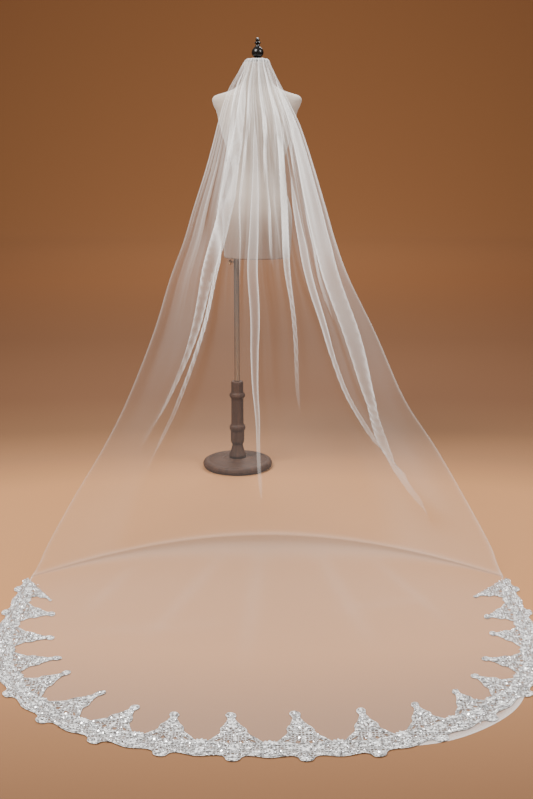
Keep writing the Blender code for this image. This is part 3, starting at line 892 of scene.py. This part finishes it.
def foldCloth(height, share):
    # place across the slope, lift off it and creases, for each point of the fall
    place = np.repeat(share, len(height), 0)
    lift = np.zeros_like(place)
    crease = np.zeros_like(place)
    edgeHold = smoothStep(np.minimum(share, 1 - share) / veil["edgeHold"])
    leastTurn, leastWidth = veil["foldEdge"]
    for raised, tight, track in veil["pleats"]:
        levels, firsts, seconds = np.array(track[::-1]).T
        centre = np.interp(height, levels, (firsts + seconds) / 2)
        half = np.interp(height, levels, (seconds - firsts) / 2)
        kept = 1.0 - 0.7 * smoothStep((height - levels[-1]) / 0.12)
        kept = smoothStep((height - levels[0]) / 0.10) * kept
        level = 1.0 - 0.93 * smoothStep((height - 1.50) / 0.06)
        turn = (share - centre) / tight
        push = (half + 1.1 * tight) * kept * math.exp(0.5)
        place = place - push * turn * np.exp(-0.5 * turn ** 2) * edgeHold
        settle = np.exp(-(np.clip(turn, 0.0, None) / 4.0) ** 2)
        lift = lift + raised * level * kept * 0.5 * (1 + np.tanh(1.3 * turn)) * settle
        faded = kept * smoothStep((height - levels[0]) / 0.50)
        edge = max(leastTurn, leastWidth / tight)
        crease = crease + faded * (np.exp(-((turn - 1) / edge) ** 2) + np.exp(-((turn + 1) / edge) ** 2))
    for strength, breadth, track in veil["lines"]:
        levels, places = np.array(track[::-1]).T
        away = (share - np.interp(height, levels, places)) / breadth
        kept = smoothStep((height - levels[0]) / 0.12)
        crease = crease + strength * kept * np.exp(-away ** 2)
        started = smoothStep((1.53 - height) / 0.08)
        lift = lift + np.sign(strength) * veil["lineLift"] * kept * np.exp(-away ** 2) * started
    drop = np.clip((1.2 - height) / 1.2, 0.0, 1.0)
    started = smoothStep((1.50 - height) / 0.45)
    for top, foot, depth, breadth, ends in veil["swells"]:
        centre = top + (foot - top) * drop
        kept = smoothStep((height - ends) / 0.35)
        lift = lift + depth * started * kept * np.exp(-((share - centre) / breadth) ** 2)
    count, looseWave, tightWave = veil["gathers"]
    loose = smoothStep((1.60 - height) / 0.25) * smoothStep((height - 0.85) / 0.45)
    tight = smoothStep((height - 1.30) / 0.25)
    wave = np.cos(2 * math.pi * count * (share + 0.006 * np.sin(9.0 * share + 3.0 * height)))
    lift = lift + wave * (looseWave * loose + tightWave * tight) * edgeHold
    slack = smoothStep((height - 0.02) / 0.2) * veil["slack"]
    lift = lift + slack * np.sin(31.0 * share + 5.0 * height) * np.sin(7.0 * height + 11.0 * share)
    return np.clip(place, 0.0, 1.0), lift, crease


def raiseFall(rows, share, place, lift):
    # points of the fall: across the slope by their place, and off it by their lift
    base = envelopePoint(rows, np.repeat(share, len(rows), 0))
    normals = np.cross(np.gradient(base, axis=0), np.gradient(base, axis=1))
    normals /= np.linalg.norm(normals, axis=2, keepdims=True)
    normals[-1] = (0.0, 0.0, 1.0)
    columns = np.arange(veil["columns"]) / (veil["columns"] - 1)
    turned = np.empty_like(normals)
    for i in range(len(rows)):
        for k in range(3):
            turned[i, :, k] = np.interp(place[i], columns, normals[i, :, k])
    fall = envelopePoint(rows, place) + turned * lift[:, :, None]
    fall[:, :, 2] = np.maximum(fall[:, :, 2], 0.0006)
    return fall


def layTrain(landing, share):
    # rows of the train from the bend to the hem, and how much each point hides
    run = hemTotal * share[0]
    hem = hemPoint(run, clothInset(run))
    reach = np.linalg.norm(hem - landing[:, :2], axis=1)
    bend = tulleCover["byHeight"][0][1]
    train = []
    cover = []
    for step in np.linspace(0.0, 1.0, veil["trainRows"])[1:]:
        point = landing[:, :2] * (1 - step) + hem * step
        inside = reach * (1 - step)
        calm = smoothStep((inside - 0.19) / 0.12) * smoothStep(step * reach / 0.10)
        swell = np.sin(9.0 * point[:, 0] + 4.0 * point[:, 1]) * np.sin(5.0 * point[:, 1] - 3.0 * point[:, 0])
        z = 0.0008 + calm * (0.0014 + 0.0014 * swell)
        train.append(np.stack([point[:, 0], point[:, 1], z], -1))
        edge = np.exp(-(inside / 0.008) ** 2) * tulleCover["laceEdge"]
        outside = bareShare(run) * smoothStep((0.036 - inside) / 0.008) * tulleCover["outsideLace"]
        creases = trainCreases(point) * smoothStep((inside - 0.18) / 0.08)
        ground = bend + (tulleCover["floor"] - bend) * smoothStep(step * reach / 0.45)
        cover.append(ground + np.maximum(edge, outside) + creases)
    return np.array(train), np.array(cover)


def fallCover(height, share, crease):
    # how much the fall hides: by height, in uneven gathers, more at both sides
    levels, covers = zip(*tulleCover["byHeight"])
    streak = 0.0
    for pace, lean, phase in tulleCover["streaks"]:
        streak = streak + np.sin(pace * share + lean * height + phase)
    streak = np.clip(0.5 + streak / 4.5, 0.0, 1.0) ** 1.6
    streaky = 1.0 + (0.75 * streak - 0.25) * smoothStep((height - 0.55) / 0.5)
    sides = 1.0 + 0.8 * smoothStep((0.19 - share) / 0.06) + 1.1 * smoothStep((share - 0.74) / 0.10)
    sides = 1.0 + (sides - 1.0) * smoothStep((1.5 - height) / 0.3)
    cover = np.interp(height, levels, covers) * sides * streaky
    return cover * (1.0 + np.clip(crease, -0.7, 0.0)) + tulleCover["crease"] * np.clip(crease, 0.0, 1.0)


def makeTulle(material):
    rows = envelopeRows()
    height = rows[:, 0][:, None]
    share = np.linspace(0.0, 1.0, veil["columns"])[None, :]
    place, lift, crease = foldCloth(height, share)
    fall = raiseFall(rows, share, place, lift)
    train, trainCover = layTrain(fall[-1], share)
    allRows = np.concatenate([fall, train])
    cover = np.concatenate([fallCover(height, share, crease), trainCover])
    selvedge = np.exp(-(np.minimum(share, 1 - share) / 0.006) ** 2) * tulleCover["selvedge"]
    cover = np.clip(cover + selvedge, 0.0, tulleCover["most"])

    # the bend onto the floor lies in its own shade towards both sides
    fromBend = np.arange(len(allRows))[:, None] - (len(rows) - 1)
    spread = 1.9 + 1.5 * (1.0 - np.abs(2 * share - 1)) ** 0.7
    shade = np.exp(-(fromBend / spread) ** 2) * tulleCover["bendShade"]
    cover = np.clip(cover + tulleCover["bend"] * shade, 0.0, tulleCover["most"])
    shade[:len(rows)] += tulleCover["topShade"] * smoothStep((height - 1.42) / 0.12)

    faces = gridFaces(len(allRows), veil["columns"])
    piece = addPiece("tulleCloth", allRows.reshape(-1, 3), faces, [material])
    storeValues(piece, "cover", cover)
    storeValues(piece, "shade", shade)
    mapOnCloth(piece, allRows)
    return takePlace(piece, "tulle_veil")


def trainCreases(point):
    # faint lines that the folds leave in the train, each from one floor place to another
    total = 0.0
    for ax, ay, bx, by, width, strength in tulleCover["trainLines"]:
        start, step = np.array([ax, ay]), np.array([bx - ax, by - ay])
        along = np.clip(((point - start) @ step) / (step @ step), 0.0, 1.0)
        away = np.linalg.norm(point - start - along[:, None] * step, axis=1)
        fade = np.sin(math.pi * np.clip(along, 0.02, 0.98)) ** 0.5
        total = total + strength * np.exp(-(away / width) ** 2) * fade
    return total


def storeValues(piece, name, values):
    layer = piece.data.attributes.new(name, "FLOAT", "POINT")
    layer.data.foreach_set("value", np.asarray(values, np.float32).reshape(-1))


def mapOnCloth(piece, grid):
    # the net's own layout in metres: across the cut and down its length
    rows, columns = grid.shape[:2]
    across = np.broadcast_to(np.linspace(0.0, veil["cut"][0], columns)[None, :], (rows, columns))
    steps = np.linalg.norm(np.diff(grid[:, columns // 2], axis=0), axis=1)
    down = np.concatenate([[0.0], np.cumsum(steps)])
    down = np.broadcast_to(down[:, None], (rows, columns))
    flat = np.stack([across, down], -1).reshape(-1, 2)
    corners = np.empty(len(piece.data.loops), np.int32)
    piece.data.loops.foreach_get("vertex_index", corners)
    layer = piece.data.uv_layers.new(name="cloth")
    layer.data.foreach_set("uv", flat[corners].astype(np.float32).reshape(-1))


gatherRoll = {
    "stations": 220,
    "sides": 20,
    "reach": 96.0,             # degrees to each side of the middle
    "away": 0.0262,            # from the neck's axis
    "height": 1.5850,
    "thick": 0.0042,
    "deep": 0.0025,
    "tucks": 36,
    "tuckDepth": 0.16,
    "cover": 0.9,
}


def makeHeading(material):
    # rolled end of the gathers, bound behind the finial, with the small tucks showing
    stations, sides = gatherRoll["stations"], gatherRoll["sides"]
    verts = []
    for i in range(stations):
        along = 2 * i / (stations - 1) - 1
        turn = math.radians(gatherRoll["reach"]) * along
        taper = math.sqrt(max(1 - abs(along) ** 12, 0.08))
        tuck = 1.0 + gatherRoll["tuckDepth"] * math.cos(gatherRoll["tucks"] * turn * 2)
        for j in range(sides):
            around = -2 * math.pi * j / sides
            radius = gatherRoll["away"] + gatherRoll["thick"] * taper * tuck * math.cos(around)
            z = gatherRoll["height"] + gatherRoll["deep"] * taper * tuck * math.sin(around)
            verts.append((form["axis"][0] + radius * math.sin(turn), -radius * math.cos(turn), z))
    piece = addPiece("gatheredHeading", verts, tubeFaces(stations, sides), [material])
    storeValues(piece, "cover", np.full(len(verts), gatherRoll["cover"]))
    storeValues(piece, "shade", np.zeros(len(verts)))
    return takePlace(piece, "veil_heading")


# Lace

lace = {
    "motifs": 18,
    "perStrip": 6,
    "drawnPitch": 150.0,
    "endGap": 0.012,
    # how far each motif's tip is pulled along the hem and inwards, in mm
    "lean": [72, 13, 21, 14, -32, 11, 8, -22, -22, -17, 14, 36, 50, 26, -3, 16, -31, -48],
    "stretch": [-32, -1, 11, 17, 12, 15, -4, -8, 5, 13, 14, -16, -26, -8, -3, -20, -17, -6],
    "leanFrom": 70.0,
    "leafWidth": 0.80,
    "petalWidth": 1.054,
    "flowerHeart": 2.2,
    "sequinSides": 8,
    "sequinTilt": 0.75,
    "flowerSequin": 2.4,
    "leafSequin": 1.7,
    # a leaf longer than this carries a sequin
    "longLeaf": 19,
    # loose sequins of one motif: tries, gap between two, least and largest radius
    "sprinkleTries": 260,
    "sprinkleGap": 7.5,
    "sprinkleSize": (1.3, 2.1),
    "low": 0.0015,
    "plate": 0.0005,
    "leafDome": 0.0011,
    "cordRadius": 0.00075,
    "edgeCord": 0.0009,
    "gapCord": 0.0006,
    "cordSides": 5,
    # right half of the ground's outline from the tip to the valley, in mm: along, inwards
    "innerEdge": [
        (0, 176), (8, 173), (13, 165), (9, 154), (9, 147), (14, 136), (17, 128), (27, 116),
        (31, 106), (29, 98), (36, 88), (47, 76), (58, 63), (66, 61),
    ],
    "innerValley": 66.0,
    "outerEdge": [(0, -12), (12, -8), (17, 3), (28, 9), (44, 8), (60, 4)],
    "outerValley": 2.0,
    "endOuter": 18.0,
    "gaps": [
        [(24, 76), (38, 71), (50, 60), (36, 62)],
        [(16, 102), (24, 107), (21, 96)],
        [(3, 110), (9, 117), (4, 129)],
        [(7, 64), (17, 70), (21, 58), (12, 53)],
        [(43, 33), (50, 43), (56, 32)],
        [(16, 31), (31, 27), (26, 21)],
    ],
    # leaves of the right half: along, inwards, angle from the tip's direction, length, width
    "leaves": [
        (2, 157, 58, 12, 7), (1, 143, 40, 12, 6), (2, 130, 40, 16, 7.5), (3, 117, 46, 21, 8.5),
        (4, 102, 56, 28, 9), (5, 92, 76, 28, 9), (24, 86, 114, 28, 7), (12, 48, 62, 20, 7),
        (17, 36, 88, 24, 8), (17, 18, 106, 22, 8), (40, 25, 96, 22, 8),
        (36, 14, 92, 24, 7.5), (58, 52, 66, 15, 7), (56, 42, 82, 16, 7), (56, 11, 98, 17, 7),
        (28, 55, 88, 27, 7.5),
    ],
    "middleLeaves": [(0, 160, 0, 16, 9), (0, 106, 0, 26, 6), (0, 132, 0, 24, 5.5), (0, 60, 0, 30, 8)],
    # flowers: along, inwards, radius, petals
    "flowers": [(0, 40, 16, 8), (0, 1, 13.5, 8)],
    "sideFlowers": [(33, 44, 8.5, 6)],
    "valleyFlower": (75, 25, 13, 8),
    # leaves that fan out above the valley's flower: along, inwards, length, width, angles
    "valleyFan": (75, 51, 16, 7, (-70, -35, 0, 35, 70)),
    # cords of the right half: points along, inwards
    "cords": [
        [(0, 58), (14, 53), (30, 50), (46, 52), (62, 48), (75, 46)],
        [(0, 22), (14, 20), (30, 17), (48, 12), (62, 8), (75, 7)],
        [(22, 90), (36, 82), (48, 70), (60, 59), (75, 58)],
    ],
}


sequinDice = np.random.default_rng(11)


def lacePitch():
    return (hemTotal - 2 * lace["endGap"]) / lace["motifs"]


def pullAt(inwards):
    # how far a motif's point follows its tip, from 0 to about 1
    start = lace["leanFrom"]
    return np.clip((inwards - start) / (lace["innerEdge"][0][1] - start), 0.0, 1.1)


def insideEnds(motif, points):
    # the two end motifs are cut off along a line from the hem to their tip
    points = np.asarray(points, float)
    if motif not in (0, lace["motifs"] - 1):
        return True
    side = -1 if motif == 0 else 1
    half, tip, end = lace["drawnPitch"] / 2, lace["innerEdge"][0][1], lace["endOuter"]
    along = side * (points[:, 0] + lace["lean"][motif] * pullAt(points[:, 1]))
    share = np.clip((points[:, 1] - end) / (tip - end), 0.0, 1.0)
    edge = half + (side * lace["lean"][motif] - half) * share - 0.7 * np.clip(end - points[:, 1], 0.0, None)
    return bool(np.all(along < edge))


def onHem(motif, points):
    # points in mm on a motif's own drawing to floor places in metres
    points = np.asarray(points, float)
    scale = lacePitch() / lace["drawnPitch"]
    pull = pullAt(points[:, 1])
    s = lace["endGap"] + (motif + 0.5) * lacePitch() + (points[:, 0] + lace["lean"][motif] * pull) * scale
    share = 0.80 + 0.26 * np.sin(math.pi * s / hemTotal) ** 2
    depth = (points[:, 1] + lace["stretch"][motif] * pull) * 0.001 * share
    return hemPoint(s, depth + veil["bareHem"] * bareShare(s))


def leafShape(along, inwards, angle, length, width, count=8):
    # spine, right side and left side of a pointed leaf, in mm
    turn = math.radians(angle)
    ahead = np.array([math.sin(turn), math.cos(turn)])
    aside = np.array([math.cos(turn), -math.sin(turn)])
    t = np.linspace(0.0, 1.0, count)
    half = 0.5 * width * np.sin(math.pi * t ** 0.8) ** 0.75
    spine = np.array([along, inwards]) + t[:, None] * length * ahead
    return spine, spine + half[:, None] * aside, spine - half[:, None] * aside


class Stitcher:
    # gathers vertices, faces and material slots for one strip
    def __init__(self):
        self.verts = []
        self.faces = []
        self.slots = []

    def add(self, verts, faces, slot):
        start = len(self.verts)
        self.verts += [tuple(v) for v in verts]
        self.faces += [tuple(start + i for i in f) for f in faces]
        self.slots += [slot] * len(faces)


def addLeaf(strip, motif, shape, slots):
    spine, right, left = shape
    if not insideEnds(motif, np.concatenate([right, left])):
        return
    count = len(spine)
    base = lace["low"] + lace["plate"]
    t = np.linspace(0.0, 1.0, count)
    dome = base + lace["leafDome"] * np.sin(math.pi * np.clip(t, 0.05, 0.95)) ** 0.5
    lines = [right, (right + spine) / 2, spine, (left + spine) / 2, left]
    rows = []
    for line, level in zip(lines, (0.0, 0.8, 1.0, 0.8, 0.0)):
        rows.append(np.column_stack([onHem(motif, line), base + (dome - base) * level]))
    faces = [f[::-1] for f in gridFaces(len(rows), count)]
    strip.add(np.concatenate(rows), faces, slots["thread"])
    outline = np.concatenate([right, left[::-1][1:-1]])
    addCord(strip, onHem(motif, outline), base + 0.0003, slots["cord"], closed=True)


def addCord(strip, path, z, slot, closed=False, radius=None):
    radius = radius or lace["cordRadius"]
    sides = lace["cordSides"]
    count = len(path)
    if closed:
        ahead = np.roll(path, -1, 0) - np.roll(path, 1, 0)
    else:
        ahead = np.gradient(path, axis=0)
    ahead /= np.maximum(np.linalg.norm(ahead, axis=1, keepdims=True), 1e-9)
    aside = np.stack([-ahead[:, 1], ahead[:, 0]], 1)
    rows = []
    for k in range(sides):
        turn = 2 * math.pi * k / sides
        flat = path + aside * radius * math.cos(turn)
        rows.append(np.column_stack([flat, np.full(count, z + radius * math.sin(turn))]))
    strip.add(np.stack(rows, 1).reshape(-1, 3), tubeFaces(count, sides, closed), slot)


def addFlower(strip, motif, flower, slots):
    along, inwards, radius, petals = flower
    heart = lace["flowerHeart"]
    width = lace["petalWidth"] * math.pi * radius / max(petals, 6)
    for i in range(petals):
        angle = (i + 0.5) * 360.0 / petals
        turn = math.radians(angle)
        start = (along + heart * math.sin(turn), inwards + heart * math.cos(turn))
        addLeaf(strip, motif, leafShape(*start, angle, radius - heart, width, 6), slots)
    addSequin(strip, motif, (along, inwards), lace["flowerSequin"], slots["sequin"])


def addSequin(strip, motif, centre, radius, slot):
    # small cupped disc, sewn on at its own tilt
    sides = lace["sequinSides"]
    if not insideEnds(motif, [centre]):
        return
    turns = np.linspace(0, 2 * math.pi, sides, endpoint=False)
    ring = [(centre[0] + radius * math.cos(a), centre[1] + radius * math.sin(a)) for a in turns]
    flat = onHem(motif, ring + [centre])
    toward, tilt = sequinDice.uniform(0, 2 * math.pi), sequinDice.uniform(0.0, lace["sequinTilt"])
    base = lace["low"] + lace["plate"] + lace["leafDome"] + 0.0003 + radius * 0.001 * tilt
    z = [base + 0.0004 + 0.001 * radius * tilt * math.cos(a - toward) for a in turns] + [base]
    faces = [(sides, i, (i + 1) % sides) for i in range(sides)]
    strip.add(np.column_stack([flat, z]), faces, slot)


def addSprinkle(strip, motif, slots):
    # loose sequins over the whole motif, kept apart from each other
    placed = []
    half = lace["drawnPitch"] / 2
    edge = [(0.0, lace["innerEdge"][0][1] - 6.0), (20.0, 112.0), (50.0, 62.0), (half, 60.0)]
    for _ in range(lace["sprinkleTries"]):
        along = sequinDice.uniform(-half, half)
        inwards = sequinDice.uniform(4.0, edge[0][1])
        if inwards > np.interp(abs(along), *zip(*edge)):
            continue
        if all((along - a) ** 2 + (inwards - d) ** 2 > lace["sprinkleGap"] ** 2 for a, d in placed):
            placed.append((along, inwards))
            radius = sequinDice.uniform(*lace["sprinkleSize"])
            addSequin(strip, motif, (along, inwards), radius, slots["sequin"])


def insideLoop(point, loop):
    hit = False
    for (ax, ay), (bx, by) in zip(loop, loop[1:] + loop[:1]):
        if (ay > point[1]) != (by > point[1]):
            if point[0] < ax + (point[1] - ay) * (bx - ax) / (by - ay):
                hit = not hit
    return hit


def addGround(strip, first, last, slots):
    # the lace's net ground: outline less its gaps, as a thin plate
    inner, outer, gaps = [], [], []
    half = lace["drawnPitch"] / 2
    for motif in range(first, last):
        leftCut = motif == 0
        rightCut = motif == lace["motifs"] - 1
        if motif == first:
            outer.append((motif, -half, lace["endOuter"] if leftCut else lace["outerValley"]))
            if not leftCut:
                inner.append((motif, -half, lace["innerValley"]))
        if not leftCut:
            inner += [(motif, -a, d) for a, d in lace["innerEdge"][:0:-1]]
        inner.append((motif, *lace["innerEdge"][0]))
        if not rightCut:
            inner += [(motif, a, d) for a, d in lace["innerEdge"][1:]]
            inner.append((motif, half, lace["innerValley"]))
        outer += [(motif, -a, d) for a, d in lace["outerEdge"][:0:-1]]
        outer += [(motif, a, d) for a, d in lace["outerEdge"]]
        outer.append((motif, half, lace["endOuter"] if rightCut else lace["outerValley"]))
        for gap in lace["gaps"]:
            if not rightCut:
                gaps.append([(motif, a, d) for a, d in gap])
            if not leftCut:
                gaps.append([(motif, -a, d) for a, d in gap])
    loops = [outer + inner[::-1]] + gaps
    flatLoops = [[tuple(onHem(m, [(a, d)])[0]) for m, a, d in loop] for loop in loops]
    points = [Vector(p) for loop in flatLoops for p in loop]
    edges = []
    start = 0
    for loop in flatLoops:
        edges += [(start + i, start + (i + 1) % len(loop)) for i in range(len(loop))]
        start += len(loop)
    found, _, faces, _, _, _ = delaunay_2d_cdt(points, edges, [], 0, 1e-7)
    kept = []
    for face in faces:
        middle = tuple(sum(found[i][k] for i in face) / 3 for k in (0, 1))
        if insideLoop(middle, flatLoops[0]) and not any(insideLoop(middle, gap) for gap in flatLoops[1:]):
            kept.append(tuple(face))
    level = lace["low"] + lace["plate"]
    strip.add([(p[0], p[1], level) for p in found], kept, slots["ground"])
    base = level + 0.0004
    addCord(strip, smoothPath(flatLoops[0][:len(outer)]), base, slots["cord"], radius=lace["edgeCord"])
    addCord(strip, smoothPath(flatLoops[0][len(outer):]), base, slots["cord"], radius=lace["edgeCord"])
    for gap in flatLoops[1:]:
        addCord(strip, np.array(gap), base, slots["cord"], closed=True, radius=lace["gapCord"])


def smoothPath(points, perStep=3):
    points = np.array(points)
    run = np.arange(len(points))
    at = np.linspace(0, len(points) - 1, (len(points) - 1) * perStep + 1)
    return np.stack([throughKnots(run, points[:, k], at) for k in (0, 1)], 1)


def makeLace(materials):
    slots = {"ground": 0, "thread": 1, "cord": 2, "sequin": 3}
    pieces = []
    names = [("laceLeft", "lace_left"), ("laceFront", "lace_front"), ("laceRight", "lace_right")]
    for index, (name, node) in enumerate(names):
        strip = Stitcher()
        first = index * lace["perStrip"]
        last = first + lace["perStrip"]
        addGround(strip, first, last, slots)
        for motif in range(first, last):
            for leaf in lace["middleLeaves"]:
                addLeaf(strip, motif, leafShape(*leaf), slots)
            for along, inwards, angle, length, width in lace["leaves"]:
                for side in (1, -1):
                    shape = leafShape(side * along, inwards, side * angle, length, width * lace["leafWidth"])
                    addLeaf(strip, motif, shape, slots)
                    if length > lace["longLeaf"]:
                        turn = math.radians(side * angle)
                        away = 0.6 * length
                        middle = (side * along + away * math.sin(turn), inwards + away * math.cos(turn))
                        addSequin(strip, motif, middle, lace["leafSequin"], slots["sequin"])
            for flower in lace["flowers"]:
                addFlower(strip, motif, flower, slots)
            for along, inwards, radius, petals in lace["sideFlowers"]:
                for side in (1, -1):
                    addFlower(strip, motif, (side * along, inwards, radius, petals), slots)
            for cord in lace["cords"]:
                for side in (1, -1):
                    path = smoothPath([(side * a, d) for a, d in cord], 4)
                    if insideEnds(motif, path):
                        addCord(strip, onHem(motif, path), lace["low"] + 0.0012, slots["cord"])
            addSprinkle(strip, motif, slots)
            if motif < last - 1 or index < 2:
                addFlower(strip, motif, lace["valleyFlower"], slots)
                along, inwards, radius, width, angles = lace["valleyFan"]
                for angle in angles:
                    turn = math.radians(angle)
                    start = (along + 3 * math.sin(turn), inwards + 3 * math.cos(turn))
                    addLeaf(strip, motif, leafShape(*start, angle, radius, width, 6), slots)
        piece = addPiece(name, strip.verts, strip.faces, materials)
        piece.data.polygons.foreach_set("material_index", strip.slots)
        mapOnFloor(piece)
        pieces.append(takePlace(piece, node))
        print(name, "faces:", len(strip.faces))
    return pieces


def mapOnFloor(piece):
    # the ground net is laid out by place on the floor
    places = np.empty(len(piece.data.vertices) * 3, np.float32)
    piece.data.vertices.foreach_get("co", places)
    corners = np.empty(len(piece.data.loops), np.int32)
    piece.data.loops.foreach_get("vertex_index", corners)
    layer = piece.data.uv_layers.new(name="cloth")
    layer.data.foreach_set("uv", places.reshape(-1, 3)[corners, :2].reshape(-1))


# Put it together

addStudio()
addCamera()
print("studio ready")

net = netGroup()
fibre = fibreGroup()
wear = wearGroup()
tulle = tulleMaterial(net)
laceMaterials = [
    laceNetMaterial(net),
    threadMaterial("laceThread", fibre, *laceLook["thread"]),
    threadMaterial("laceCord", fibre, *laceLook["cord"]),
    handledMaterial("silverSequin", wear),
]
wood = woodMaterial()
steel = handledMaterial("brushedSteel", wear)
brass = handledMaterial("agedBrass", wear)
lacquer = handledMaterial("blackLacquer", wear)
print("materials ready")

makeTorso(coverMaterial(fibre))
makeStand(wood, steel, brass, lacquer)
print("form and stand ready")

heading = makeHeading(tulle)
cloth = makeTulle(tulle)
laces = makeLace(laceMaterials)
print("veil ready")
